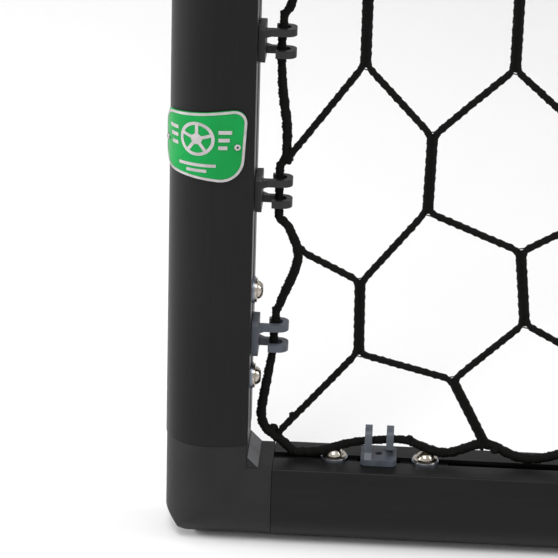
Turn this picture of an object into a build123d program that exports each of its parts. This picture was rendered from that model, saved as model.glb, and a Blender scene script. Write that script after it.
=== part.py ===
from build123d import *
import math
import os

# Garden soccer goal: a front frame, a U-shaped ground frame and a sloping net.
# Millimetres. Origin on the ground below the middle of the box, +X along the width,
# +Y to the rear, +Z up. The mouth faces -Y.

os.makedirs("parts", exist_ok=True)

# Overall sizes
goal_width = 2200.0
goal_height = 1200.0
goal_depth = 800.0

# Rail extrusion: round outside, flat inner face with a T-slot
rail_reach = 60.0
rail_round_radius = 31.0
rail_flat_half = 25.0
rail_wall = 2.2
rail_edge_radius = 1.2
slot_width = 10.0
slot_lip = 2.6
channel_width = 20.0
channel_depth = 10.0

# Corner castings
casting_inset = 0.5
casting_wall = 5.0
seam_distance = 18.1
ramp_size = 7.7
corner_chamfer = 20.0
seam_gap = 0.4

# Corner inserts: steel angles that lie in the slot channels
insert_width = 18.0
insert_thickness = 9.5
insert_leg = 125.0
insert_pocket_depth = 4.9

# Bolts and washers
bolt_shank_diameter = 8.0
bolt_hole_clearance = 0.4
bolt_flange_diameter = 17.6
bolt_flange_height = 1.4
bolt_dome_diameter = 13.6
bolt_dome_height = 4.0
bolt_socket_size = 5.0
bolt_socket_depth = 2.6
bolt_shank_length = 13.4
bolt_from_seam = (43.2, 108.7)
washer_diameter = 19.4
washer_thickness = 1.6

# Net clips: a slotted foot, a base plate and two C-shaped hooks
clip_from_seam = 75.2
clip_pitch_upright = 108.0
clip_pitch_level = 210.0
clip_end_margin = 60.0
clip_length = 25.7
clip_width = 25.4
clip_thickness = 4.6
clip_clearance = 0.3
clip_hole_diameter = 5.4
clip_corner_chamfer = 2.5
clip_foot_length = 14.0
clip_foot_height = 4.0
clip_slide_each_way = 8.0
hook_spacing = 15.4
hook_thickness = 5.2
hook_width = 17.0
hook_height = 21.0
hook_arm = 4.2
hook_top = 4.2
hook_lip = 10.0
hook_outer_radius = 7.0
hook_inner_radius = 3.4
hook_gusset = 4.0

# Net: hexagonal mesh with upright sides of doubled cord
net_thickness = 4.6
net_border_width = 5.4
net_border_offset = 15.5
net_column_pitch = 105.0
net_row_pitch = 108.0
net_row_start = 22.0
net_upright_side = 57.0
net_cord_width = 5.0
net_panel_gap = 4.0

# Badge on the round side of the right post
badge_above_bar = 242.0
badge_round_to_middle = 10.0
badge_width = 68.4
badge_height = 54.0
badge_front_height = 39.5
badge_taper = 3.0
badge_rear_radius = 9.0
badge_front_radius = 14.0
badge_bottom_radius = 16.0
badge_thickness = 1.6
badge_gap = 0.2
badge_rivet_spacing = 54.7
badge_rivet_diameter = 4.4
badge_rivet_height = 1.1
badge_rivet_edge = 0.4
badge_rivet_bore = 1.7
shield_steps = 60

# Places worked out from the driving dimensions
rail_middle_x = goal_width / 2 - rail_round_radius
front_y = -goal_depth / 2
post_flat_y = front_y + rail_reach
rear_bar_y = goal_depth / 2 - rail_round_radius
bar_flat_z = rail_reach
crossbar_z = goal_height - rail_round_radius
seam_from_middle = rail_round_radius + seam_distance
post_bottom_z = bar_flat_z + seam_distance
post_top_z = crossbar_z - seam_from_middle
side_bar_front_y = post_flat_y + seam_distance
side_bar_rear_y = rear_bar_y - seam_from_middle
span_half = rail_middle_x - seam_from_middle
post_length = post_top_z - post_bottom_z
side_bar_length = side_bar_rear_y - side_bar_front_y


def rail_outline(inset):
    """Closed section: X runs from the round side to the flat, Y across."""
    centre = rail_round_radius - rail_reach
    with BuildSketch() as outline:
        with BuildLine():
            ThreePointArc(
                (centre, rail_round_radius), (-rail_reach, 0), (centre, -rail_round_radius)
            )
            TangentArc((centre, -rail_round_radius), (0, -rail_flat_half), tangent=(1, 0))
            Line((0, -rail_flat_half), (0, rail_flat_half))
            TangentArc((centre, rail_round_radius), (0, rail_flat_half), tangent=(1, 0))
        make_face()
        flat_corners = outline.vertices().group_by(Axis.X)[-1]
        fillet(flat_corners, rail_edge_radius)
        if inset:
            offset(amount=-inset, mode=Mode.REPLACE)
    return outline.sketch


def channel_section():
    """The T-slot: a narrow mouth in the flat and a wide channel behind it."""
    with BuildSketch() as channel:
        Rectangle(
            slot_lip + channel_depth, slot_width, align=(Align.MAX, Align.CENTER)
        )
        with Locations((-slot_lip, 0)):
            Rectangle(channel_depth, channel_width, align=(Align.MAX, Align.CENTER))
    return channel.sketch


def hollow_section(inset, wall, slotted):
    """Rail or casting section with its hollow; a casting's channel has no mouth."""
    with BuildSketch() as hollow:
        add(rail_outline(inset + wall))
        Rectangle(
            slot_lip + channel_depth + wall,
            channel_width + 2 * wall,
            align=(Align.MAX, Align.CENTER),
            mode=Mode.SUBTRACT,
        )
    with BuildSketch() as section:
        add(rail_outline(inset))
        add(hollow.sketch, mode=Mode.SUBTRACT)
        if slotted:
            add(channel_section(), mode=Mode.SUBTRACT)
        else:
            with Locations((-slot_lip, 0)):
                Rectangle(
                    channel_depth, channel_width, align=(Align.MAX, Align.CENTER),
                    mode=Mode.SUBTRACT,
                )
    return section.sketch


rail_section = hollow_section(0, rail_wall, slotted=True)
casting_section = hollow_section(casting_inset, casting_wall, slotted=False)


def export_piece(part, name):
    part.label = name
    export_step(part, f"parts/{name}.step")


def make_rail(plane, length):
    with BuildPart() as rail:
        with BuildSketch(plane):
            add(rail_section)
        extrude(amount=length)
    return rail.part


# Every rail has a plane: origin on its flat at its first seam, X out of the flat,
# Z along the rail.
def rail_plane(origin, out_of_flat, along):
    return Plane(origin=origin, x_dir=out_of_flat, z_dir=along)


rails = {
    "crossbar": (
        rail_plane((-span_half, post_flat_y, crossbar_z), (0, 1, 0), (1, 0, 0)),
        2 * span_half, clip_pitch_level,
    ),
    "rear_bar": (
        rail_plane((-span_half, rear_bar_y, bar_flat_z), (0, 0, 1), (1, 0, 0)),
        2 * span_half, clip_pitch_level,
    ),
}
for side_name, side in (("left", -1), ("right", 1)):
    rails[f"post_{side_name}"] = (
        rail_plane((side * rail_middle_x, post_flat_y, post_bottom_z), (0, 1, 0), (0, 0, 1)),
        post_length, clip_pitch_upright,
    )
    rails[f"side_bar_{side_name}"] = (
        rail_plane((side * rail_middle_x, side_bar_front_y, bar_flat_z), (0, 0, 1), (0, 1, 0)),
        side_bar_length, clip_pitch_level,
    )

for rail_name, (plane, length, pitch) in rails.items():
    export_piece(make_rail(plane, length), rail_name)


# Corner castings. A casting is one leg cut at the mitre and mirrored across it.
def make_corner(leg_plane, leg_length, mitre, section):
    with BuildPart() as corner:
        with BuildSketch(leg_plane):
            add(section)
        extrude(amount=leg_length)
        split(bisect_by=mitre, keep=Keep.TOP)
        mirror(about=mitre)
    return corner.part


def cut_outer_corner(corner, point, first, second, reach):
    """Chamfer the outer corner edge that passes through point."""
    middle = (Vector(*first) + Vector(*second)).normalized()
    face_plane = Plane(
        origin=Vector(*point) + middle * (corner_chamfer / math.sqrt(2)), z_dir=-middle
    )
    with BuildPart() as cut:
        add(corner)
        with BuildSketch(face_plane):
            Rectangle(reach, reach)
        extrude(amount=reach, mode=Mode.SUBTRACT)
    return cut.part


def make_insert(corner_point, directions, common_normal=None):
    """Steel angle in two slot channels: four bolt holes and two pockets for clip feet."""
    seam = seam_from_middle if common_normal else seam_distance
    start = -insert_width / 2 if common_normal else -(slot_lip + insert_thickness)
    length = seam + insert_leg - start
    pocket_length = clip_foot_length + 2 * (clip_slide_each_way + clip_clearance)
    with BuildPart() as insert:
        for along, other in (directions, directions[::-1]):
            normal = common_normal or other
            leg = Plane(origin=corner_point - normal * slot_lip, x_dir=along, z_dir=normal)
            with BuildSketch(leg):
                with Locations((start + length / 2, 0)):
                    Rectangle(length, insert_width)
            extrude(amount=-insert_thickness)
        for along, other in (directions, directions[::-1]):
            normal = common_normal or other
            leg = Plane(origin=corner_point - normal * slot_lip, x_dir=along, z_dir=normal)
            with BuildSketch(leg):
                with Locations(*[(seam + place, 0) for place in bolt_from_seam]):
                    Circle((bolt_shank_diameter + bolt_hole_clearance) / 2)
            extrude(amount=-insert_thickness, mode=Mode.SUBTRACT)
            with BuildSketch(leg):
                with Locations((seam + clip_from_seam, 0)):
                    Rectangle(pocket_length, insert_width)
            extrude(amount=-insert_pocket_depth, mode=Mode.SUBTRACT)
    return insert.part


for side_name, side in (("left", -1), ("right", 1)):
    x = side * rail_middle_x
    inward = (-side, 0, 0)

    # Bottom front corner: both flats face into the angle
    inner_corner = Vector(x, post_flat_y, bar_flat_z)
    leg_plane = Plane(
        origin=inner_corner + Vector(0, seam_distance - seam_gap, 0),
        x_dir=(0, 0, 1), z_dir=(0, -1, 0),
    )
    mitre = Plane(origin=inner_corner, x_dir=(1, 0, 0), z_dir=(0, 1, -1))
    corner = make_corner(leg_plane, seam_distance + rail_reach, mitre, casting_section)
    corner = cut_outer_corner(
        corner,
        (x, front_y + casting_inset, casting_inset),
        (0, 1, 0), (0, 0, 1), rail_reach * 2,
    )
    with BuildPart() as ramp:
        with BuildSketch(Plane.YZ.offset(x)):
            with BuildLine():
                Polyline(
                    (post_flat_y - casting_inset, bar_flat_z - casting_inset),
                    (post_flat_y + ramp_size, bar_flat_z - casting_inset),
                    (post_flat_y + ramp_size, bar_flat_z),
                    (post_flat_y, bar_flat_z + ramp_size),
                    (post_flat_y - casting_inset, bar_flat_z + ramp_size),
                    close=True,
                )
            make_face()
        extrude(amount=rail_flat_half - rail_edge_radius, both=True)
    with BuildPart() as bottom_corner:
        add(corner)
        add(ramp.part)
    export_piece(bottom_corner.part, f"bottom_corner_{side_name}")
    export_piece(
        make_insert(inner_corner, (Vector(0, 1, 0), Vector(0, 0, 1))),
        f"bottom_insert_{side_name}",
    )

    # Top corner: both flats face the rear
    middle = Vector(x, post_flat_y, crossbar_z)
    leg_plane = Plane(
        origin=middle + Vector(*inward) * (seam_from_middle - seam_gap),
        x_dir=(0, 1, 0), z_dir=(side, 0, 0),
    )
    mitre = Plane(origin=middle, x_dir=(0, 1, 0), z_dir=(-side, 0, 1))
    corner = make_corner(
        leg_plane, seam_from_middle + rail_round_radius, mitre, casting_section
    )
    corner = cut_outer_corner(
        corner,
        (
            x + side * (rail_round_radius - casting_inset),
            post_flat_y,
            crossbar_z + rail_round_radius - casting_inset,
        ),
        inward, (0, 0, -1), rail_reach * 3,
    )
    export_piece(corner, f"top_corner_{side_name}")
    export_piece(
        make_insert(middle, (Vector(*inward), Vector(0, 0, -1)), Vector(0, 1, 0)),
        f"top_insert_{side_name}",
    )

    # Rear ground corner: both flats face up
    middle = Vector(x, rear_bar_y, bar_flat_z)
    leg_plane = Plane(
        origin=middle + Vector(*inward) * (seam_from_middle - seam_gap),
        x_dir=(0, 0, 1), z_dir=(side, 0, 0),
    )
    mitre = Plane(origin=middle, x_dir=(0, 0, 1), z_dir=(-side, 1, 0))
    corner = make_corner(
        leg_plane, seam_from_middle + rail_round_radius, mitre, casting_section
    )
    corner = cut_outer_corner(
        corner,
        (
            x + side * (rail_round_radius - casting_inset),
            rear_bar_y + rail_round_radius - casting_inset,
            bar_flat_z,
        ),
        inward, (0, -1, 0), rail_reach * 3,
    )
    export_piece(corner, f"rear_corner_{side_name}")
    export_piece(
        make_insert(middle, (Vector(*inward), Vector(0, -1, 0)), Vector(0, 0, 1)),
        f"rear_insert_{side_name}",
    )


# Bolts and washers, made once about +Z with the rail's flat at zero
with BuildPart() as washer:
    with BuildSketch():
        Circle(washer_diameter / 2)
        Circle((bolt_shank_diameter + bolt_hole_clearance) / 2, mode=Mode.SUBTRACT)
    extrude(amount=washer_thickness)

with BuildPart() as bolt:
    with BuildSketch(Plane.XZ):
        with BuildLine():
            dome_base = washer_thickness + bolt_flange_height
            dome_top = dome_base + bolt_dome_height
            Polyline(
                (0, dome_top),
                (0, washer_thickness - bolt_shank_length),
                (bolt_shank_diameter / 2, washer_thickness - bolt_shank_length),
                (bolt_shank_diameter / 2, washer_thickness),
                (bolt_flange_diameter / 2, washer_thickness),
                (bolt_flange_diameter / 2, dome_base),
                (bolt_dome_diameter / 2, dome_base + bolt_flange_height / 3),
            )
            TangentArc(
                (bolt_dome_diameter / 2, dome_base + bolt_flange_height / 3),
                (bolt_socket_size * 0.8, dome_top), tangent=(-0.25, 1),
            )
            Line((bolt_socket_size * 0.8, dome_top), (0, dome_top))
        make_face()
    revolve(axis=Axis.Z)
    with BuildSketch(Plane.XY.offset(dome_top)):
        RegularPolygon(bolt_socket_size / 2, 6, major_radius=False)
    extrude(amount=-bolt_socket_depth, mode=Mode.SUBTRACT)


def clip_hook(arm_side):
    """C-shaped hook across the rail; arm_side is the side its arm stands on."""
    half = hook_width / 2
    inner = half - hook_arm
    top = hook_height - hook_top
    with BuildSketch() as hook:
        with BuildLine():
            FilletPolyline(
                (arm_side * (half + hook_gusset), 0),
                (arm_side * half, hook_gusset),
                (arm_side * half, hook_height),
                (-arm_side * half, hook_height),
                (-arm_side * half, top - hook_lip),
                radius=(hook_gusset / 2, hook_outer_radius, hook_outer_radius),
            )
            Line((-arm_side * half, top - hook_lip), (-arm_side * inner, top - hook_lip))
            FilletPolyline(
                (-arm_side * inner, top - hook_lip), (-arm_side * inner, top),
                (arm_side * inner, top), (arm_side * inner, 0),
                radius=hook_inner_radius,
            )
            Line((arm_side * inner, 0), (arm_side * (half + hook_gusset), 0))
        make_face()
    return hook.sketch


# One clip about +Z: the rail runs along X, the flat is at zero
with BuildPart() as clip:
    with BuildSketch(Plane.XY.offset(clip_clearance)) as base:
        Rectangle(clip_length, clip_width)
        chamfer(base.vertices(), clip_corner_chamfer)
    extrude(amount=clip_thickness)
    foot_top = -(slot_lip + clip_clearance)
    with BuildSketch(Plane.XY.offset(foot_top)):
        Rectangle(clip_foot_length, slot_width - 2 * clip_clearance)
    extrude(amount=clip_clearance - foot_top)
    with BuildSketch(Plane.XY.offset(foot_top)):
        Rectangle(clip_foot_length, channel_width - 4 * clip_clearance)
    extrude(amount=-clip_foot_height)
    for hook_place in (-1, 1):
        hook_plane = Plane(
            origin=(
                hook_place * hook_spacing / 2 - hook_thickness / 2,
                0, clip_clearance + clip_thickness,
            ),
            x_dir=(0, 1, 0), z_dir=(1, 0, 0),
        )
        with BuildSketch(hook_plane):
            add(clip_hook(hook_place))
        extrude(amount=hook_thickness)
    with BuildSketch(Plane.XY.offset(clip_clearance + clip_thickness)):
        Circle(clip_hole_diameter / 2)
    extrude(amount=-(clip_thickness + clip_clearance - foot_top + clip_foot_height),
            mode=Mode.SUBTRACT)


def along_rail(plane, distance):
    """Location on a rail's flat: Z out of the flat and X along the rail."""
    return Plane(
        origin=plane.origin + plane.z_dir * distance, x_dir=plane.z_dir, z_dir=plane.x_dir
    ).location


def clip_places(length, pitch):
    """Distances of the sliding clips between the two corner clips."""
    places = []
    place = clip_from_seam + pitch
    while place < length - clip_from_seam - clip_end_margin:
        places.append(place)
        place += pitch
    return places


bolts, washers = [], []
for rail_name, (plane, length, pitch) in rails.items():
    for distance in bolt_from_seam:
        for place in (distance, length - distance):
            spot = along_rail(plane, place)
            bolts.append(bolt.part.moved(spot))
            washers.append(washer.part.moved(spot))
    corner_clips = [
        clip.part.moved(along_rail(plane, place))
        for place in (clip_from_seam, length - clip_from_seam)
    ]
    sliding_clips = [
        clip.part.moved(along_rail(plane, place)) for place in clip_places(length, pitch)
    ]
    export_piece(Compound(children=corner_clips), f"{rail_name}_corner_clips")
    export_piece(Compound(children=sliding_clips), f"{rail_name}_clips")

export_piece(Compound(children=bolts), "corner_bolts")
export_piece(Compound(children=washers), "corner_washers")


# Net panels: flat grilles of hexagonal openings inside a border
def clip_to_convex(points, outline):
    """Cut a polygon to a convex outline that runs anticlockwise."""
    for (ax, ay), (bx, by) in zip(outline, outline[1:] + outline[:1]):
        kept = []
        inside = [(bx - ax) * (y - ay) - (by - ay) * (x - ax) for x, y in points]
        for index, point in enumerate(points):
            last, last_inside = points[index - 1], inside[index - 1]
            if (inside[index] > 0) != (last_inside > 0):
                share = last_inside / (last_inside - inside[index])
                kept.append(tuple(p + (q - p) * share for p, q in zip(last, point)))
            if inside[index] > 0:
                kept.append(point)
        points = kept
    return points


def polygon_area(points):
    pairs = zip(points, points[1:] + points[:1])
    return abs(sum(ax * by - bx * ay for (ax, ay), (bx, by) in pairs)) / 2


def moved_outline(outline, amount):
    """The corners of the outline moved out (or in) by amount."""
    with BuildSketch() as moved:
        with BuildLine():
            Polyline(*outline, close=True)
        make_face()
        offset(amount=amount, kind=Kind.INTERSECTION, mode=Mode.REPLACE)
    corners = [(v.X, v.Y) for v in moved.vertices()]
    middle = [sum(values) / len(corners) for values in zip(*corners)]
    return sorted(corners, key=lambda c: math.atan2(c[1] - middle[1], c[0] - middle[0]))


def net_openings(outline, row_pitch):
    """Corner lists of the hexagonal openings, those at the border cut by it."""
    half_column = net_column_pitch / 2 - net_cord_width / 2
    side_half = net_upright_side / 2
    peak = row_pitch - net_upright_side / 2 - net_cord_width / 2
    low_x, high_x = min(p[0] for p in outline), max(p[0] for p in outline)
    low_y, high_y = min(p[1] for p in outline), max(p[1] for p in outline)
    middle_x = (low_x + high_x) / 2 if low_x < 0 else low_x + net_column_pitch / 2
    across = int((high_x - low_x) / net_column_pitch) + 2
    rows = int((high_y - low_y) / row_pitch) + 3
    inner = moved_outline(outline, -net_border_width / 2)
    hexagon = [
        (half_column, -side_half), (half_column, side_half), (0, peak),
        (-half_column, side_half), (-half_column, -side_half), (0, -peak),
    ]
    openings = []
    for row in range(rows):
        for column in range(-across, across + 1):
            x = middle_x + (column + 0.5 * (row % 2)) * net_column_pitch
            y = low_y - net_row_start + row * row_pitch
            points = clip_to_convex([(x + dx, y + dy) for dx, dy in hexagon], inner)
            if len(points) > 2 and polygon_area(points) > net_cord_width ** 2:
                openings.append(points)
    return openings


def make_net(plane, outline, row_pitch):
    with BuildPart() as net:
        with BuildSketch(plane):
            with BuildLine():
                Polyline(*moved_outline(outline, net_border_width / 2), close=True)
            make_face()
        panel = net.pending_faces.pop()
        holes = [
            Wire.make_polygon([plane.from_local_coords((x, y, 0)) for x, y in points], close=True)
            for points in net_openings(outline, row_pitch)
        ]
        extrude(panel.make_holes(holes), amount=net_thickness / 2, both=True)
    return net.part


net_front_y = post_flat_y + net_border_offset
net_low_z = bar_flat_z + net_border_offset
net_run = math.hypot(rear_bar_y - net_front_y, crossbar_z - net_low_z)
for side_name, side in (("left", -1), ("right", 1)):
    panel_plane = Plane(
        origin=(side * rail_middle_x, net_front_y, net_low_z), x_dir=(0, 1, 0), z_dir=(1, 0, 0)
    )
    export_piece(
        make_net(
            panel_plane,
            [(0, 0), (rear_bar_y - net_front_y, 0), (0, crossbar_z - net_low_z)],
            net_row_pitch,
        ),
        f"net_{side_name}",
    )
back_half = rail_middle_x - net_thickness / 2 - net_border_width / 2 - net_panel_gap
back_rows = 2 * round((net_run + 2 * net_row_start) / net_row_pitch / 2)
back_row_pitch = (net_run + 2 * net_row_start) / back_rows
back_plane = Plane(
    origin=(0, rear_bar_y, net_low_z), x_dir=(1, 0, 0),
    z_dir=(0, -(crossbar_z - net_low_z), -(rear_bar_y - net_front_y)),
)
export_piece(
    make_net(
        back_plane,
        [(-back_half, 0), (back_half, 0), (back_half, net_run), (-back_half, net_run)],
        back_row_pitch,
    ),
    "net_back",
)


# Badge plate bent round the outer side of the right post, with two rivets
badge_z = bar_flat_z + badge_above_bar
round_centre = rail_round_radius - rail_reach
flat_drop = rail_round_radius - rail_flat_half
side_radius = (round_centre ** 2 + flat_drop ** 2) / (2 * flat_drop)


def post_plane(run, height):
    """Plane just off the post, run round it from side to front; Z points outwards."""
    radius = rail_round_radius if run > 0 else side_radius
    out = Vector(math.cos(run / radius), -math.sin(run / radius), 0)
    centre_x = rail_middle_x + rail_round_radius - radius
    centre = Vector(centre_x, post_flat_y + round_centre, badge_z + height)
    lift = radius + badge_gap + badge_thickness
    return Plane(origin=centre + out * lift, x_dir=(0, 0, 1), z_dir=out)


with BuildSketch() as shield:
    with BuildLine():
        FilletPolyline(
            (badge_width / 2, badge_front_height / 2),
            (-badge_width / 2, badge_height / 2),
            (-badge_width / 2 + badge_taper, -badge_height / 2),
            (badge_width / 2 - badge_taper, -badge_front_height / 2),
            radius=(
                badge_front_radius, badge_rear_radius, badge_bottom_radius, badge_bottom_radius
            ),
            close=True,
        )
    make_face()
shield_wire = shield.face().outer_wire()
shield_outline = []
for step in range(shield_steps):
    flat_point = shield_wire.position_at(step / shield_steps)
    spot = post_plane(badge_round_to_middle + flat_point.X, flat_point.Y).origin
    shield_outline.append((spot.Y, spot.Z))

badge_bottom = Plane(
    origin=(rail_middle_x, post_flat_y, badge_z - badge_height),
    x_dir=(0, 1, 0), z_dir=(0, 0, -1),
)
with BuildPart() as badge:
    with BuildSketch(badge_bottom):
        add(rail_outline(-badge_gap - badge_thickness))
        add(rail_outline(-badge_gap), mode=Mode.SUBTRACT)
    extrude(amount=-2 * badge_height)
    with BuildSketch(Plane.YZ.offset(rail_middle_x)):
        with BuildLine():
            Polyline(*shield_outline, close=True)
        make_face()
    extrude(amount=rail_reach, mode=Mode.INTERSECT)
export_piece(badge.part, "badge_plate")

with BuildPart() as rivet:
    with BuildSketch():
        Circle(badge_rivet_diameter / 2)
        Circle(badge_rivet_bore / 2, mode=Mode.SUBTRACT)
    extrude(amount=badge_rivet_height)
    top_rims = rivet.edges().group_by(Axis.Z)[-1]
    fillet(top_rims.sort_by(SortBy.RADIUS)[-1], badge_rivet_edge)
rivets = [
    rivet.part.moved(post_plane(badge_round_to_middle + run, 0).location)
    for run in (-badge_rivet_spacing / 2, badge_rivet_spacing / 2)
]
export_piece(Compound(children=rivets), "badge_rivets")
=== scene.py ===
import math
import random

import bpy
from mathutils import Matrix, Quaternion, Vector


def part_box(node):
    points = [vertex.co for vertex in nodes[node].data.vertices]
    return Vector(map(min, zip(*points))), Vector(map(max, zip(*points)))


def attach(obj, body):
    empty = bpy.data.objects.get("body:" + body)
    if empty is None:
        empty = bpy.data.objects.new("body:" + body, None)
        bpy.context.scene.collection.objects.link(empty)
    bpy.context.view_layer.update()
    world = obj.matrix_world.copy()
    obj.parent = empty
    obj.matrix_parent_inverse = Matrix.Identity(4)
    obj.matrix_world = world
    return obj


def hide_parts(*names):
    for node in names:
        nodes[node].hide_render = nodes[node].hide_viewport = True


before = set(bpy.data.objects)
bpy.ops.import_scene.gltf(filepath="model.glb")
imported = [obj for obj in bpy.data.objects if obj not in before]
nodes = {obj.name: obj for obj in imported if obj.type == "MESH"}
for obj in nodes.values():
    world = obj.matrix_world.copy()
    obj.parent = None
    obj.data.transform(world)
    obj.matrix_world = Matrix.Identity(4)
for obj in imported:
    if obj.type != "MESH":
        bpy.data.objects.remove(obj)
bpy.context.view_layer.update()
random.seed(11)

mm = 0.001

# places read from the frame
postLow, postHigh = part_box("post_right")
barLow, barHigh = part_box("side_bar_right")
leftPostLow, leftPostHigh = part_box("post_left")
crossLow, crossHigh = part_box("crossbar")
rearLow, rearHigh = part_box("rear_bar")
postFlatY = postHigh.y
barFlatZ = barHigh.z
rightX = (barLow.x + barHigh.x) / 2
leftX = (leftPostLow.x + leftPostHigh.x) / 2
crossZ = (crossLow.z + crossHigh.z) / 2
rearY = (rearLow.y + rearHigh.y) / 2
roundRadius = (barHigh.x - barLow.x) / 2
innerCorner = Vector((rightX, postFlatY, barFlatZ))  # where the flats of post and bar meet


# camera
view = {
    "place": Vector((1810, 100, 832)) * mm,  # from the inner corner
    "lookAt": Vector((0, 18, 135.7)) * mm,
    "roll": math.radians(1.6),
    "lens": 178.0,
    "sensor": 36.0,
    "farthest": 50.0,
}


def makeCamera():
    data = bpy.data.cameras.new("goalCamera")
    data.lens = view["lens"]
    data.sensor_width = view["sensor"]
    data.clip_end = view["farthest"]
    camera = bpy.data.objects.new("goalCamera", data)
    bpy.context.scene.collection.objects.link(camera)
    camera.location = innerCorner + view["place"]
    aim = innerCorner + view["lookAt"] - camera.location
    turn = aim.to_track_quat("-Z", "Y") @ Quaternion((0, 0, 1), view["roll"])
    camera.rotation_mode = "QUATERNION"
    camera.rotation_quaternion = turn
    bpy.context.scene.camera = camera


makeCamera()
print("camera placed")


# small helpers for materials
class Wire:
    def __init__(self, finish, socket):
        self.finish = finish
        self.socket = socket

    def maths(self, operation, first, second):
        return self.finish.node(
            "ShaderNodeMath", {"operation": operation}, {0: first, 1: second}
        )

    def __add__(self, other):
        return self.maths("ADD", self, other)

    def __radd__(self, other):
        return self.maths("ADD", other, self)

    def __mul__(self, other):
        return self.maths("MULTIPLY", self, other)

    def __rmul__(self, other):
        return self.maths("MULTIPLY", other, self)

    def __pow__(self, other):
        return self.maths("POWER", self, other)


class Finish:
    def __init__(self, name, **fixed):
        self.material = bpy.data.materials.new(name)
        self.material.use_nodes = True
        self.tree = self.material.node_tree
        self.shader = self.tree.nodes["Principled BSDF"]
        self.feed(self.shader, fixed)

    def feed(self, node, values):
        for key, value in values.items():
            socket = node.inputs[key]
            if isinstance(value, Wire):
                self.tree.links.new(value.socket, socket)
            elif socket.type == "RGBA" and len(value) == 3:
                socket.default_value = (*value, 1)
            else:
                socket.default_value = value

    def node(self, kind, settings=None, values=None, output=0):
        made = self.tree.nodes.new(kind)
        for key, value in (settings or {}).items():
            if key == "stops":
                ramp = made.color_ramp.elements
                while len(ramp) < len(value):
                    ramp.new(0.5)
                for stop, (place, colour) in zip(ramp, value):
                    stop.position = place
                    stop.color = (*colour, 1)
            else:
                setattr(made, key, value)
        self.feed(made, values or {})
        return Wire(self, made.outputs[output])

    def place(self, scale=(1, 1, 1)):
        coords = self.node("ShaderNodeTexCoord", output=3)
        return self.node("ShaderNodeMapping", {}, {"Vector": coords, "Scale": scale})

    def noise(self, where, scale, detail=3.0, rough=0.5):
        return self.node(
            "ShaderNodeTexNoise", {},
            {"Vector": where, "Scale": scale, "Detail": detail, "Roughness": rough},
        )

    def between(self, low, high, value, outLow, outHigh):
        return self.node(
            "ShaderNodeMapRange", {"clamp": True},
            {"Value": value, 1: low, 2: high, 3: outLow, 4: outHigh},
        )

    def mix(self, factor, first, second):
        return self.node(
            "ShaderNodeMix", {"data_type": "RGBA"}, {0: factor, 6: first, 7: second}, output=2
        )

    def bump(self, height, strength, distance):
        return self.node(
            "ShaderNodeBump", {},
            {"Height": height, "Strength": strength, "Distance": distance},
        )

    def shade(self, **values):
        self.feed(self.shader, {key.replace("_", " "): v for key, v in values.items()})
        return self.material


def anodised(name, stretch):
    finish = Finish(name, **{"IOR": 1.5, "Specular IOR Level": 0.16})
    streaks = finish.noise(finish.place(stretch), 900.0, 4.0, 0.6)
    cloud = finish.noise(finish.place(), 9.0, 2.0)
    grain = finish.noise(finish.place(), 2600.0, 2.0)
    tone = finish.between(0.3, 0.7, streaks * 0.6 + cloud * 0.4, 0.0, 1.0)
    return finish.shade(
        Base_Color=finish.mix(tone, (0.0052, 0.0052, 0.0055), (0.0092, 0.0092, 0.0096)),
        Metallic=0.1,
        Roughness=finish.between(0.2, 0.8, streaks, 0.36, 0.46),
        Normal=finish.bump(grain * 0.5 + streaks * 0.5, 0.12, 0.00012),
    )


def powderCoat():
    finish = Finish("powderCoatBlack", **{"IOR": 1.5, "Specular IOR Level": 0.2})
    peel = finish.noise(finish.place(), 850.0, 4.0, 0.65)
    patch = finish.noise(finish.place(), 40.0, 3.0)
    speck = finish.node(
        "ShaderNodeTexVoronoi", {}, {"Vector": finish.place(), "Scale": 1300.0}
    )
    tone = finish.between(0.25, 0.75, peel * 0.5 + patch * 0.5, 0.0, 1.0)
    # painted highlight: casting faces turned up and towards +Y, like the bottom corners' ramp, get a
    # lighter colour where a lamp's reflection would fall
    facing = finish.node(
        "ShaderNodeVectorMath", {"operation": "DOT_PRODUCT"},
        {0: finish.node("ShaderNodeTexCoord", output=1), 1: (0, 0.7071, 0.7071)}, output=1,
    )
    rampHighlight = finish.between(0.95, 0.995, facing, 0.0, 1.0)  # the ramp faces this way
    coat = finish.mix(tone, (0.0100, 0.0100, 0.0105), (0.0185, 0.0185, 0.0195))
    return finish.shade(
        # the lighter colour mixed in here is the painted highlight on faces turned like the ramp
        Base_Color=finish.mix(rampHighlight, coat, (0.105, 0.107, 0.111)),
        Metallic=0.1,
        Roughness=finish.between(0.3, 0.7, peel, 0.44, 0.58),
        Normal=finish.bump(peel + speck * 0.5, 0.35, 0.0002),
    )


def mouldedNylon(name, dark, light):
    finish = Finish(name, **{"IOR": 1.52, "Specular IOR Level": 0.32})
    fine = finish.noise(finish.place(), 1500.0, 3.0)
    flow = finish.noise(finish.place((1, 1, 0.4)), 120.0, 3.0)
    return finish.shade(
        Base_Color=finish.mix(finish.between(0.3, 0.7, flow, 0.0, 1.0), dark, light),
        Metallic=0.0,
        Roughness=finish.between(0.3, 0.7, flow, 0.36, 0.5),
        Normal=finish.bump(fine, 0.2, 0.0001),
    )


def brightSteel(name, tint, dull, low, high):
    finish = Finish(name)
    turned = finish.noise(finish.place((1, 1, 6)), 700.0, 3.0)
    smear = finish.noise(finish.place(), 160.0, 3.0)
    return finish.shade(
        Base_Color=finish.mix(finish.between(0.35, 0.7, smear, 0.0, 1.0), tint, dull),
        Metallic=1.0,
        Roughness=finish.between(0.2, 0.8, smear, low, high),
        Normal=finish.bump(turned, 0.08, 0.00005),
    )


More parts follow.
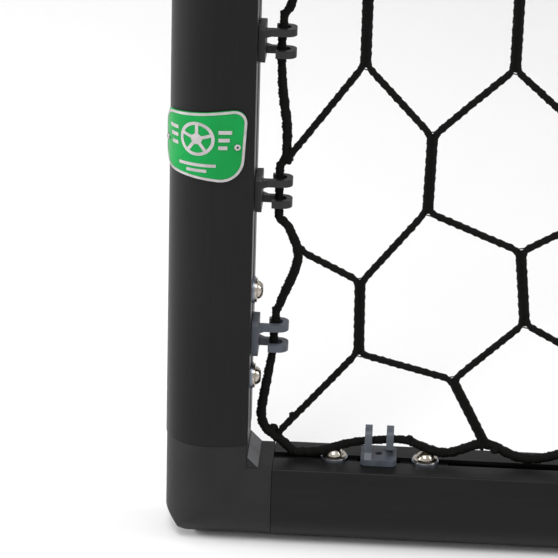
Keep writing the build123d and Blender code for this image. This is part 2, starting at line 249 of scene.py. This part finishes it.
def knittedCord():
    finish = Finish("knittedCordBlack", **{"Specular IOR Level": 0.08})
    uv = finish.node("ShaderNodeUVMap", {"uv_map": "along"})
    strands = finish.node(
        "ShaderNodeTexWave", {"wave_type": "BANDS", "bands_direction": "DIAGONAL"},
        {"Vector": uv, "Scale": 2.2, "Distortion": 1.5, "Detail": 2.0},
    )
    fuzz = finish.noise(finish.place(), 2600.0, 4.0, 0.7)
    stitch = finish.between(0.35, 0.85, strands * 0.45 + fuzz * 0.55, 0.0, 1.0) ** 3.0
    return finish.shade(
        Base_Color=finish.mix(stitch, (0.0010, 0.0010, 0.0010), (0.030, 0.029, 0.026)),
        Metallic=0.0,
        Roughness=finish.between(0.0, 1.0, fuzz, 0.62, 0.85),
        Normal=finish.bump(strands + fuzz * 0.6, 0.6, 0.0004),
    )


def greenEnamel():
    finish = Finish("greenEnamel", **{"IOR": 1.5, "Specular IOR Level": 0.16})
    drift = finish.noise(finish.place(), 35.0, 2.0)
    peel = finish.noise(finish.place(), 500.0, 2.0)
    return finish.shade(
        Base_Color=finish.mix(finish.between(0.35, 0.65, drift, 0.0, 1.0),
                              (0.0004, 0.225, 0.042), (0.0008, 0.270, 0.053)),
        Metallic=0.0,
        Roughness=finish.between(0.3, 0.7, drift, 0.24, 0.32),
        Normal=finish.bump(peel, 0.05, 0.00005),
    )


def dress(name, material):
    mesh = nodes[name].data
    mesh.materials.clear()
    mesh.materials.append(material)


coatFinish = powderCoat()
steelFinish = brightSteel("boltSteel", (0.58, 0.53, 0.46), (0.36, 0.32, 0.27), 0.14, 0.26)
zincFinish = brightSteel("washerZinc", (0.42, 0.46, 0.54), (0.26, 0.29, 0.34), 0.28, 0.42)
slateNylon = mouldedNylon("slateNylon", (0.046, 0.054, 0.068), (0.070, 0.080, 0.098))
blackNylon = mouldedNylon("blackNylon", (0.0065, 0.0065, 0.0068), (0.0135, 0.0135, 0.0140))
darkSteel = brightSteel("insertSteel", (0.030, 0.030, 0.032), (0.018, 0.018, 0.019), 0.5, 0.7)
silverFinish = brightSteel("badgeSilver", (0.50, 0.48, 0.48), (0.40, 0.385, 0.385), 0.34, 0.46)
enamelFinish = greenEnamel()
cordFinish = knittedCord()

railStretch = {"post": (1, 1, 0.02), "side_bar": (1, 0.02, 1), "crossbar": (0.02, 1, 1),
               "rear_bar": (0.02, 1, 1)}
for start, stretch in railStretch.items():
    satin = anodised("anodised_" + start, stretch)
    for name in nodes:
        if name.startswith(start) and not name.endswith("clips"):
            dress(name, satin)
for name in nodes:
    if "_corner_" in name and not name.endswith("clips"):
        dress(name, coatFinish)
    elif name.endswith("corner_clips"):
        dress(name, slateNylon)
    elif name.endswith("_clips"):
        dress(name, blackNylon)
    elif "_insert_" in name:
        dress(name, darkSteel)
dress("corner_washers", zincFinish)
dress("corner_bolts", steelFinish)
dress("badge_plate", enamelFinish)
dress("badge_rivets", silverFinish)
print("CAD nodes finished")


# net cords
cord = {
    "radius": 2.45 * mm, "squeezed": 1.95 * mm,  # alone, and where two lie side by side
    "borderRadius": 3.4 * mm, "heldRadius": 2.95 * mm,  # border, and border in a clip's hooks
    "lump": 0.11, "twistLength": 13.0 * mm,  # swell of the twist
    "borderLump": 0.07, "backLump": 0.1, "borderTwist": 16 * mm,
    "rough": 0.04, "stitch": 0.085,  # swell of the yarn and of each stitch
    "knotBlend": 3.4 * mm, "apart": 0.97,
    "borderOff": 15.5 * mm,  # middle of the border from the flats
    "uvLength": 200, "uvRound": 3,
}
band = {  # filling between two cords that lie side by side, and the threads at its ends
    "parts": 20, "wide": 0.9, "lump": 0.1, "twistLength": 6 * mm,
    "thread": 0.45 * mm, "threadOff": 1.6 * mm, "threadHalf": 2.8 * mm, "threadTilt": 0.6 * mm,
}
knot = {
    "shares": (-0.97, -0.75, -0.4, 0.0, 0.4, 0.75, 0.97), "lump": 0.1, "twistLength": 10 * mm,
    "along": Vector((0, 0.6, 0.8)),
}
sideMesh = {  # mm from the flats of post and bar
    "firstColumn": 21.0, "columnStep": 51.0, "oddCentre": 109.0, "period": 216.0,
    "halfSide": 28.5, "rows": range(-1, 7),
    "postLow": (31, 158), "postHigh": (20.0, 227),  # ends of the side at the post
    "postClear": 33.5 * mm,  # nearer the post, the border stands for that side
    "inside": (12, 10),  # lower front corner of the netted area
    "doubled": 0.9,  # squeezed more than this, a point is on a doubled side
    "sway": 1.2 * mm, "swayTurns": Vector((17, 31)),  # out of the panel's plane
    # Ends of the doubled sides near one corner, pulled out of the even pattern:
    # (column, row): (lower end, upper end)
    "pulled": {
        (0, 0): ((31, 157), (20, 226)), (0, -1): ((10, -10), (20, 20)),
        (1, 0): ((76, 81), (75, 137)), (1, 1): ((73, 293), (73, 350)),
        (2, 0): ((120, 190), (121, 247)), (2, -1): ((170, 14), (143, 65)),
        (3, 0): ((192, 109), (186, 165)), (3, 1): ((175, 294), (175, 351)),
        (4, 0): ((234, 190), (233, 247)), (4, -1): ((262, 8), (247, 82)),
        (10, -1): ((543, -27), (537, 29)),
    },
    # where cords are tied, and the radius of the knot
    "ties": (
        ((33, 158), 3.4), ((21.8, 225.4), 3.7), ((30.5, 31.5), 2.9), ((115, 17.5), 2.8),
        ((176, 12), 3.2), ((17, 21), 3.4),
    ),
}
clipRow = {
    "seam": 18.1, "fromSeam": 75.2, "step": 108.0, "levelStep": 210,
    "onPost": 8, "onBar": 3,
    "reach": 19.5 * mm,  # half a clip and its travel, where the border runs straight
    "low": 9.5 * mm, "high": 16.6 * mm,  # room for the border inside the hooks
    "beside": 45 * mm,  # a point nearer a flat than this passes its clips
    "spread": 1.3, "free": 20 * mm,
}
border = {  # route of the side nets' border: (along the bar, up the post)
    "upPost": (
        (32, 3.6), (21, 15), (9.5, 21), (7, 31), (11.5, 60), (15.5, 84), (15.5, 102),
        (19, 118), (29, 142), (32.5, 157), (26, 170), (17.5, 190), (15.5, 208), (21, 226),
        (21, 248), (17, 272), (15.5, 299), (15.5, 318), (22, 338),
    ),
    "alongBar": (
        (226, 12), (210, 6), (196, 4.5), (183, 10), (170, 18), (156, 12), (141, 5.5),
        (125, 11), (110, 18.5), (101, 16), (86, 15), (69, 12), (55, 6), (45, 3.8),
    ),
    "alongBarEnd": 240 * mm,
    "lowJoint": (31.5, 158), "highJoint": (21.5, 228),  # where net cords pull the border
    "joints": ((1, 2, 3, 4), (1, 2, 3)),
    "clipHalf": 9 * mm, "topClear": 70 * mm,
    "top": ((4, -50), (-1, -12)),  # from the border's line and the crossbar
    "apexOut": 4 * mm,
    "slopeParts": 24, "slopeDip": 4 * mm, "slopeIn": Vector((-0.5, -0.35)),
    "heel": (-4, -1),
    "hang": ((55, 11), (9, 0), (-9, 0), (-55, 8)),  # from each clip of the bar and the line
    "even": 6 * mm, "drift": 1.5 * mm, "driftTurns": Vector((25, 40)),
}
backMesh = {
    "columnStep": 52.5 * mm, "rowStep": 108 * mm, "start": 22 * mm, "halfSide": 28.5 * mm,
    "sideGap": 9 * mm, "edge": 4 * mm, "step": 4.6 * mm, "sides": 6,
    "sag": 4 * mm, "ripple": 1 * mm, "rippleTurns": 29,
    "dip": 5 * mm, "dips": 10, "dipParts": 48, "uprightParts": 280,  # its border cord
}

panelRun = rearY - postFlatY  # side panel, from the post to the middle of the rear bar
panelRise = crossZ - barFlatZ  # side panel, from the side bar to the middle of the crossbar
firstClip = clipRow["seam"] + clipRow["fromSeam"]
postClips = [(firstClip + i * clipRow["step"]) * mm for i in range(clipRow["onPost"])]
topClip = panelRise - roundRadius - clipRow["seam"] * mm - clipRow["fromSeam"] * mm
barClips = [(firstClip + i * clipRow["levelStep"]) * mm for i in range(clipRow["onBar"])]
barClips.append(panelRun - roundRadius - firstClip * mm)
apex = Vector((cord["borderOff"] + border["apexOut"], panelRise))
heel = Vector((panelRun, cord["borderOff"]))


# Lower and upper end of a doubled side, in metres on a side panel.
def sideEnds(column, row):
    rise = row * sideMesh["period"]
    if (column, row) in sideMesh["pulled"]:
        low, high = sideMesh["pulled"][column, row]
    elif column == 0:
        atPost = (sideMesh["postLow"], sideMesh["postHigh"])
        low, high = [(across, up + rise) for across, up in atPost]
    else:
        centre = sideMesh["oddCentre"] + rise + (0 if column % 2 else sideMesh["period"] / 2)
        across = sideMesh["firstColumn"] + column * sideMesh["columnStep"]
        low, high = [(across, centre + side * sideMesh["halfSide"]) for side in (-1, 1)]
    return Vector(low) * mm, Vector(high) * mm


# Corners of the cord between a column and the next, going up.
def zigzag(column, rows, ends):
    points = []
    for row in rows:
        pair = [(column, 1), (column + 1, -1)]
        if column % 2 == 0:
            pair.reverse()
        for which, side in pair:
            low, high = ends(which, row)
            shift = Vector((side * cord["squeezed"] * cord["apart"], 0))
            points += [low + shift, high + shift]
    return points


def insidePanel(point, outline):
    for a, b in zip(outline, outline[1:] + outline[:1]):
        if (b.x - a.x) * (point.y - a.y) - (b.y - a.y) * (point.x - a.x) < 0:
            return False
    return True


# Mean of each value and its neighbours, with the two ends left in place.
def smoothed(values, reach):
    result = []
    for index in range(len(values)):
        near = min(reach, index, len(values) - 1 - index)
        span = values[index - near:index + near + 1]
        total = span[0]
        for value in span[1:]:
            total = total + value
        result.append(total / len(span))
    return result


# Even points on a cord with blended corners, and how far each is squeezed by a second cord.
def densePath(points, step):
    dense, squeeze = [], []
    for index in range(len(points) - 1):
        a, b = points[index], points[index + 1]
        count = max(2, int((b - a).length / step))
        for part in range(count):
            dense.append(a.lerp(b, part / count))
            squeeze.append(0.0 if index % 2 else 1.0)
    dense.append(points[-1])
    squeeze.append(squeeze[-1])
    reach = max(1, int(cord["knotBlend"] / step))
    for _ in range(2):
        dense = smoothed(dense, reach)
        squeeze = smoothed(squeeze, reach)
    return dense, squeeze


# Stretches of a path whose points are all kept, each point with its squeeze.
def stretches(dense, squeeze, keep):
    found = [[]]
    for point, tight, kept in zip(dense, squeeze, keep):
        if kept:
            found[-1].append((point, tight))
        elif found[-1]:
            found.append([])
    return [stretch for stretch in found if len(stretch) > 4]


def cordRadii(squeeze):
    return [
        (cord["radius"] + (cord["squeezed"] - cord["radius"]) * tight, cord["radius"])
        for tight in squeeze
    ]


def tidyNormals(piece):
    bpy.ops.object.select_all(action="DESELECT")
    piece.select_set(True)
    bpy.context.view_layer.objects.active = piece
    bpy.ops.object.mode_set(mode="EDIT")
    bpy.ops.mesh.select_all(action="SELECT")
    bpy.ops.mesh.normals_make_consistent(inside=False)
    bpy.ops.object.mode_set(mode="OBJECT")


# Collects the cord tubes of one flat panel and makes one object of them.
class CordMesh:
    def __init__(self, name, normal, sides):
        self.name = name
        self.normal = normal
        self.sides = sides
        self.points = []
        self.faces = []
        self.uvs = []

    def tube(self, path, radii, lump, twist, phase=0.0):
        sides = self.sides
        start = len(self.points)
        run = 0.0
        runs = []
        for index, point in enumerate(path):
            before = path[max(index - 1, 0)]
            after = path[min(index + 1, len(path) - 1)]
            along = (after - before).normalized()
            across = self.normal.cross(along).normalized()
            out = along.cross(across)
            if index:
                run += (point - before).length
            runs.append(run)
            wide, deep = radii[index]
            turn = phase + 2 * math.pi * run / twist
            for side in range(sides):
                angle = 2 * math.pi * side / sides
                swell = 1 + lump * math.cos(2 * (angle - turn)) + random.gauss(0, cord["rough"])
                swell += cord["stitch"] * (1 if (index + side) % 2 else -1)
                self.points.append(
                    point + across * (wide * swell * math.cos(angle))
                    + out * (deep * swell * math.sin(angle))
                )
        for ring in range(len(path) - 1):
            for side in range(sides):
                a = start + ring * sides + side
                b = start + ring * sides + (side + 1) % sides
                self.faces.append((a, b, b + sides, a + sides))
                u0, u1 = runs[ring] * cord["uvLength"], runs[ring + 1] * cord["uvLength"]
                v0, v1 = side / sides * cord["uvRound"], (side + 1) / sides * cord["uvRound"]
                self.uvs += [(u0, v0), (u0, v1), (u1, v1), (u1, v0)]
        last = start + (len(path) - 1) * sides
        self.faces.append(tuple(start + side for side in reversed(range(sides))))
        self.faces.append(tuple(last + side for side in range(sides)))
        self.uvs += [(0, 0)] * (2 * sides)

    # A small rounded lump where cords are tied.
    def knot(self, middle, radius):
        path = [middle + knot["along"] * (radius * share) for share in knot["shares"]]
        radii = [(radius * math.sqrt(1 - share * share),) * 2 for share in knot["shares"]]
        self.tube(path, radii, knot["lump"], knot["twistLength"], random.random() * 6)

    def finish(self, node):
        mesh = bpy.data.meshes.new(self.name)
        mesh.from_pydata([tuple(p) for p in self.points], [], self.faces)
        layer = mesh.uv_layers.new(name="along")
        layer.data.foreach_set("uv", [c for uv in self.uvs for c in uv])
        mesh.polygons.foreach_set("use_smooth", [True] * len(mesh.polygons))
        mesh.materials.append(cordFinish)
        piece = bpy.data.objects.new(self.name, mesh)
        bpy.context.scene.collection.objects.link(piece)
        tidyNormals(piece)
        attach(piece, "frame")
        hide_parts(node)
        print(self.name, len(self.faces), "faces")


# The side nets' border as a loop: up the post, down the slope and back along the bar.
def borderLoop():
    off = cord["borderOff"]
    joints = []
    for (across, up), rows in zip((border["lowJoint"], border["highJoint"]), border["joints"]):
        joints += [Vector((across, up + sideMesh["period"] * row)) * mm for row in rows]
    for place in postClips[3:] + [topClip]:
        joints += [Vector((off, place + side * border["clipHalf"])) for side in (-1, 1)]
    loop = [Vector(point) * mm for point in border["upPost"]]
    joints = [p for p in joints if p.y < panelRise - border["topClear"]]
    loop += sorted(joints, key=lambda p: p.y)
    loop += [Vector((off + across * mm, panelRise + up * mm)) for across, up in border["top"]]
    loop.append(apex)
    inward = border["slopeIn"].normalized()
    for part in range(border["slopeParts"] - 1):
        point = apex.lerp(heel, (part + 1) / border["slopeParts"])
        loop.append(point + inward * (border["slopeDip"] * (part % 2)))
    back = [heel + Vector(border["heel"]) * mm]
    for place in reversed(barClips[1:]):
        back += [Vector((place + across * mm, off + up * mm)) for across, up in border["hang"]]
    loop += [heel] + [p for p in back if p.x > border["alongBarEnd"]]
    return loop + [Vector(point) * mm for point in border["alongBar"]]


# How far a point of the border is past the nearest clip's whole travel.
def pastClips(p):
    near = 1.0
    if p.x < clipRow["beside"]:
        near = min(abs(p.y - place) for place in postClips + [topClip])
    if p.y < clipRow["beside"]:
        near = min([near] + [abs(p.x - place) for place in barClips])
    return max(0.0, near - clipRow["reach"])


# The same point, moved into the hooks beside a clip.
def held(p):
    slack = pastClips(p) * clipRow["spread"]
    low, high = clipRow["low"] - slack, clipRow["high"] + slack
    if p.x < clipRow["beside"] < p.y:
        return Vector((min(max(p.x, low), high), p.y))
    if p.y < clipRow["beside"] < p.x:
        return Vector((p.x, min(max(p.y, low), high)))
    return p


def layBorder(net, place, step):
    loop = borderLoop()
    dense, _ = densePath(loop + loop[:1], step)
    for _ in range(2):
        dense = smoothed(dense, max(2, int(border["even"] / step)))
    dense = [held(p) for p in smoothed([held(p) for p in dense], 2)]
    loose = [min(1.0, pastClips(p) / clipRow["free"]) for p in dense]
    across, up = border["driftTurns"]
    path = [
        place(p, free * border["drift"] * math.sin(p.y * up + p.x * across))
        for p, free in zip(dense, loose)
    ]
    radii = [
        (cord["heldRadius"] + (cord["borderRadius"] - cord["heldRadius"]) * free,) * 2
        for free in loose
    ]
    net.tube(path, radii, cord["borderLump"], cord["borderTwist"])


# A band between the two cords of a doubled side, with a thread across each end.
def layBand(net, onPanel, low, high):
    parts = band["parts"]
    points = [low.lerp(high, part / parts) for part in range(parts + 1)]
    radii = [(cord["squeezed"] * band["wide"], cord["squeezed"])] * (parts + 1)
    net.tube(onPanel(points), radii, band["lump"], band["twistLength"])
    for end, sign in ((low, -1), (high, 1)):
        middle = end + Vector((0, sign * band["threadOff"]))
        points = [
            middle + Vector((side * band["threadHalf"], sign * band["threadTilt"] * side))
            for side in (-1, 0, 1)
        ]
        net.tube(onPanel(points), [(band["thread"],) * 2] * 3, 0.0, 1.0)


def sidePanel(name, node, x, step, sides):
    def place(p, lift):
        return Vector((x + lift, postFlatY + p.x, barFlatZ + p.y))

    def onPanel(points):
        across, up = sideMesh["swayTurns"]
        return [place(p, sideMesh["sway"] * math.sin(p.y * up + p.x * across)) for p in points]

    net = CordMesh(name, Vector((1, 0, 0)), sides)
    outline = [Vector(sideMesh["inside"]) * mm, heel, apex]
    columns = int(panelRun / sideMesh["columnStep"] / mm) + 1
    for column in range(columns):
        dense, squeeze = densePath(zigzag(column, sideMesh["rows"], sideEnds), step)
        keep = [
            insidePanel(p, outline)
            and not (column == 0 and tight > sideMesh["doubled"] and p.x < sideMesh["postClear"])
            for p, tight in zip(dense, squeeze)
        ]
        for stretch in stretches(dense, squeeze, keep):
            points, tight = zip(*stretch)
            wave = random.random() * 6
            net.tube(onPanel(points), cordRadii(tight), cord["lump"], cord["twistLength"], wave)
    for column in range(1, columns + 1):
        for row in sideMesh["rows"]:
            low, high = sideEnds(column, row)
            if insidePanel(low, outline) and insidePanel(high, outline):
                layBand(net, onPanel, low, high)
    layBorder(net, place, step)
    for point, radius in sideMesh["ties"]:
        net.knot(place(Vector(point) * mm, 0.0), radius * mm)
    net.finish(node)


sidePanel("net_right_cords", "net_right", rightX, 1.35 * mm, 10)
sidePanel("net_left_cords", "net_left", leftX, 2.6 * mm, 8)


def backPanel():
    foot = Vector((0, rearY, barFlatZ + cord["borderOff"]))
    head = Vector((0, postFlatY + cord["borderOff"], crossZ))
    along = (head - foot).normalized()
    rise = (head - foot).length
    half = rightX - backMesh["sideGap"]
    normal = Vector((1, 0, 0)).cross(along)
    netted = rise + 2 * backMesh["start"]
    rows = 2 * round(netted / backMesh["rowStep"] / 2)
    rowStep = netted / rows
    lastColumn = int(half / backMesh["columnStep"])

    def ends(column, row):
        centre = -backMesh["start"] + (2 * row + (0 if column % 2 else 1)) * rowStep
        across = column * backMesh["columnStep"]
        if abs(column) >= lastColumn:
            across = math.copysign(half, column)
        return [Vector((across, centre + side * backMesh["halfSide"])) for side in (-1, 1)]

    def place(p, lift):
        return foot + Vector((1, 0, 0)) * p.x + along * p.y + normal * lift

    def sag(p, wave):
        hollow = -backMesh["sag"] * math.sin(math.pi * p.y / rise) ** 2
        return hollow + backMesh["ripple"] * math.sin(p.y * backMesh["rippleTurns"] + wave)

    def layEdge(points):
        path = [place(p, 0.0) for p in points]
        radii = [(cord["borderRadius"],) * 2] * len(path)
        net.tube(path, radii, cord["backLump"], cord["borderTwist"])

    net = CordMesh("net_back_cords", normal, backMesh["sides"])
    edge = half + backMesh["edge"]
    outline = [Vector((-edge, 0)), Vector((edge, 0)), Vector((edge, rise)), Vector((-edge, rise))]
    for column in range(-lastColumn, lastColumn):
        corners = zigzag(column, range(-1, rows // 2 + 2), ends)
        pairs = zip(*densePath(corners, backMesh["step"]))
        points, tight = zip(*[pair for pair in pairs if insidePanel(pair[0], outline)])
        wave = random.random() * 6
        path = [place(p, sag(p, wave)) for p in points]
        net.tube(path, cordRadii(tight), cord["lump"], cord["twistLength"], wave)
    dipParts = backMesh["dipParts"]
    parts = backMesh["dips"] * dipParts
    for level, sign in ((0.0, 1), (rise, -1)):
        points = []
        for i in range(parts + 1):
            dip = backMesh["dip"] * (1 - math.cos(i * math.pi / (dipParts / 2))) / 2
            points.append(Vector((-half + 2 * half * i / parts, level + sign * dip)))
        layEdge(points)
    parts = backMesh["uprightParts"]
    for across in (-half, half):
        layEdge([Vector((across, rise * i / parts)) for i in range(parts + 1)])
    net.finish("net_back")


backPanel()
print("net made")


# badge relief: a silver rim and a plain ball emblem on the bent plate, in mm
badge = {
    "above": 242.0, "middle": 10.0, "flatHalf": 25.0,
    "lift": 1.8, "relief": 0.3, "sunk": 0.1, "rimGap": 0.1, "rimWidth": 1.9,
    "corners": (  # across, up and radius
        (34.2, 19.75, 14.0), (-34.2, 27.0, 9.0), (-31.2, -27.0, 16.0), (31.2, -19.75, 16.0),
    ),
    "arcParts": 8, "sideParts": 16,
}
emblem = {
    "at": (10.0, 5.0), "radius": 12.0, "line": 2.2, "patch": 4.6, "hub": 0.1,
    "ringCorners": 60, "patchCorners": 5, "edgeParts": 3,
    "spoke": (3.9, 5.9, 7.9), "spokeLap": 0.3,
    "sideBars": ((10.5, 9.0), (5.0, 7.5), (-0.5, 6.0)), "sideGap": 2.5, "sideHalf": 1.3, "sideParts": 5,
    "lowBars": ((-13.5, 26.0), (-17.5, 14.0)), "lowHalf": 1.1, "lowParts": 12,
}
rivetCore = {
    "apart": 54.7, "lift": 0.15, "vertices": 24, "radius": 0.8 * mm, "depth": 0.5 * mm,
}


# A point off the right post, run round it from its side to its front.
def onPost(run, up, lift):
    reach = (postFlatY - postLow.y) / mm
    big = roundRadius / mm
    drop = big - badge["flatHalf"]
    back = reach - big
    radius = big if run > 0 else (back * back + drop * drop) / (2 * drop)
    away = radius + lift
    return Vector((
        rightX / mm + big - radius + away * math.cos(run / radius),
        postFlatY / mm - back - away * math.sin(run / radius),
        barFlatZ / mm + badge["above"] + up,
    )) * mm


# The plate's outline moved in: rounded corners with straight sides between them.
def shieldLoop(inset):
    corners = badge["corners"]
    parts = badge["arcParts"]
    arcs = []
    for number, (x, y, radius) in enumerate(corners):
        here = Vector((x, y))
        before = (here - Vector(corners[number - 1][:2])).normalized()
        after = (Vector(corners[(number + 1) % 4][:2]) - here).normalized()
        turn = before.angle(after)
        centre = here + (after - before).normalized() * (radius / math.cos(turn / 2))
        start = math.atan2(-before.x, before.y)
        angles = [start + turn * part / parts for part in range(parts + 1)]
        arcs.append([
            centre + Vector((math.cos(angle), math.sin(angle))) * (radius - inset)
            for angle in angles
        ])
    loop = []
    for arc, nextArc in zip(arcs, arcs[1:] + arcs[:1]):
        loop += arc
        sides = badge["sideParts"]
        loop += [arc[-1].lerp(nextArc[0], part / sides) for part in range(1, sides)]
    return [(badge["middle"] + point.x, point.y) for point in loop]


# A regular polygon round the ball's middle, with points between its corners.
def ballLoop(radius, corners):
    middle, up = emblem["at"]
    parts = emblem["edgeParts"]
    angles = [2 * math.pi * i / corners for i in range(corners)]
    ring = [(radius * math.sin(angle), radius * math.cos(angle)) for angle in angles]
    return [
        (middle + a[0] + (b[0] - a[0]) * part / parts, up + a[1] + (b[1] - a[1]) * part / parts)
        for a, b in zip(ring, ring[1:] + ring[:1]) for part in range(parts)
    ]


# Two loops that bound each closed part of the emblem: the ball's ring and its patch.
def closedRows():
    inner = emblem["radius"] - emblem["line"]
    return [
        [ballLoop(radius, emblem["ringCorners"]) for radius in (emblem["radius"], inner)],
        [ballLoop(radius, emblem["patchCorners"]) for radius in (emblem["patch"], emblem["hub"])],
    ]


# Two lines that bound each open part: spokes, bars beside the ball and bars below it.
def openRows():
    middle, up = emblem["at"]
    line = emblem["line"]
    rows = []
    for spoke in range(5):
        across, along = math.cos(2 * math.pi * spoke / 5), math.sin(2 * math.pi * spoke / 5)
        reaches = emblem["spoke"] + (emblem["radius"] - line + emblem["spokeLap"],)
        rows.append([
            [(middle + reach * along + side * line * across, up + reach * across - side * line * along)
             for reach in reaches]
            for side in (-0.5, 0.5)
        ])
    for height, length in emblem["sideBars"]:
        for side in (-1, 1):
            start = middle + side * (emblem["radius"] + emblem["sideGap"])
            parts = emblem["sideParts"]
            rows.append([
                [(start + side * length * i / parts, height + edge) for i in range(parts + 1)]
                for edge in (-emblem["sideHalf"], emblem["sideHalf"])
            ])
    for height, length in emblem["lowBars"]:
        parts = emblem["lowParts"]
        rows.append([
            [(middle + length * (i / parts - 0.5), height + edge) for i in range(parts + 1)]
            for edge in (-emblem["lowHalf"], emblem["lowHalf"])
        ])
    return rows


def makeRelief():
    rim = [shieldLoop(badge["rimGap"]), shieldLoop(badge["rimWidth"])]
    rows = [(pair, True) for pair in [rim] + closedRows()] + [(pair, False) for pair in openRows()]
    points, faces = [], []
    for pair, closed in rows:
        count = len(pair[0])
        start = len(points)
        for lift in (badge["lift"] + badge["relief"], badge["lift"] - badge["sunk"]):
            for line in pair:
                points += [tuple(onPost(run, up, lift)) for run, up in line]
        for low, high in ((0, 1), (0, 2), (1, 3), (2, 3)):
            for i in range(count if closed else count - 1):
                after = (i + 1) % count
                faces.append((
                    start + low * count + i, start + low * count + after,
                    start + high * count + after, start + high * count + i,
                ))
        if not closed:
            for i in (0, count - 1):
                faces.append(tuple(start + row * count + i for row in (0, 1, 3, 2)))
    mesh = bpy.data.meshes.new("badge_relief")
    mesh.from_pydata(points, [], faces)
    mesh.materials.append(silverFinish)
    piece = bpy.data.objects.new("badge_relief", mesh)
    bpy.context.scene.collection.objects.link(piece)
    tidyNormals(piece)
    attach(piece, "frame")


# Dark ends of the pins inside the two hollow rivet heads.
def makeRivetCores():
    for number, side in enumerate((-0.5, 0.5)):
        run = badge["middle"] + side * rivetCore["apart"]
        place = onPost(run, 0, badge["lift"] + rivetCore["lift"])
        out = onPost(run, 0, badge["lift"] + 1.0) - place
        bpy.ops.object.select_all(action="DESELECT")
        bpy.ops.mesh.primitive_cylinder_add(
            vertices=rivetCore["vertices"], radius=rivetCore["radius"], depth=rivetCore["depth"],
            location=place, rotation=out.to_track_quat("Z", "Y").to_euler(),
        )
        bpy.ops.object.transform_apply(location=True, rotation=True, scale=True)
        core = bpy.context.active_object
        core.name = f"rivet_core_{number}"
        core.data.materials.append(darkSteel)
        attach(core, "frame")


makeRelief()
makeRivetCores()
print("badge made")


# floor and light
stage = {
    "floorSize": 14.0, "skyStrength": 0.75,
    "lamps": {  # place, size and power
        "keyLight": ((3.4, -0.9, 4.0), 1.8, 105.0),
        "leftLight": ((1.4, -3.6, 1.2), 1.4, 75.0),
        "rearLight": ((1.2, 3.2, 2.6), 2.0, 60.0),
    },
}


def makeFloor():
    bpy.ops.object.select_all(action="DESELECT")
    bpy.ops.mesh.primitive_plane_add(size=stage["floorSize"], location=(0, 0, 0))
    floor = bpy.context.active_object
    floor.name = "floor"
    finish = Finish("paleFloor", **{"Specular IOR Level": 0.1})
    mottle = finish.noise(finish.place(), 3.0, 3.0)
    floor.data.materials.append(finish.shade(
        Base_Color=finish.mix(mottle, (0.80, 0.795, 0.80), (0.82, 0.815, 0.82)),
        Roughness=0.9, Metallic=0.0,
    ))


def makeLight():
    world = bpy.data.worlds.new("studio")
    bpy.context.scene.world = world
    world.use_nodes = True
    background = world.node_tree.nodes["Background"]
    background.inputs["Color"].default_value = (1, 1, 1, 1)
    background.inputs["Strength"].default_value = stage["skyStrength"]
    for name, (place, size, power) in stage["lamps"].items():
        data = bpy.data.lights.new(name, "AREA")
        data.size = size
        data.energy = power
        lamp = bpy.data.objects.new(name, data)
        bpy.context.scene.collection.objects.link(lamp)
        lamp.location = place
        lamp.rotation_euler = (innerCorner - Vector(place)).to_track_quat("-Z", "Y").to_euler()
    bpy.context.scene.view_settings.view_transform = "Standard"


makeFloor()
makeLight()
print("stage made")
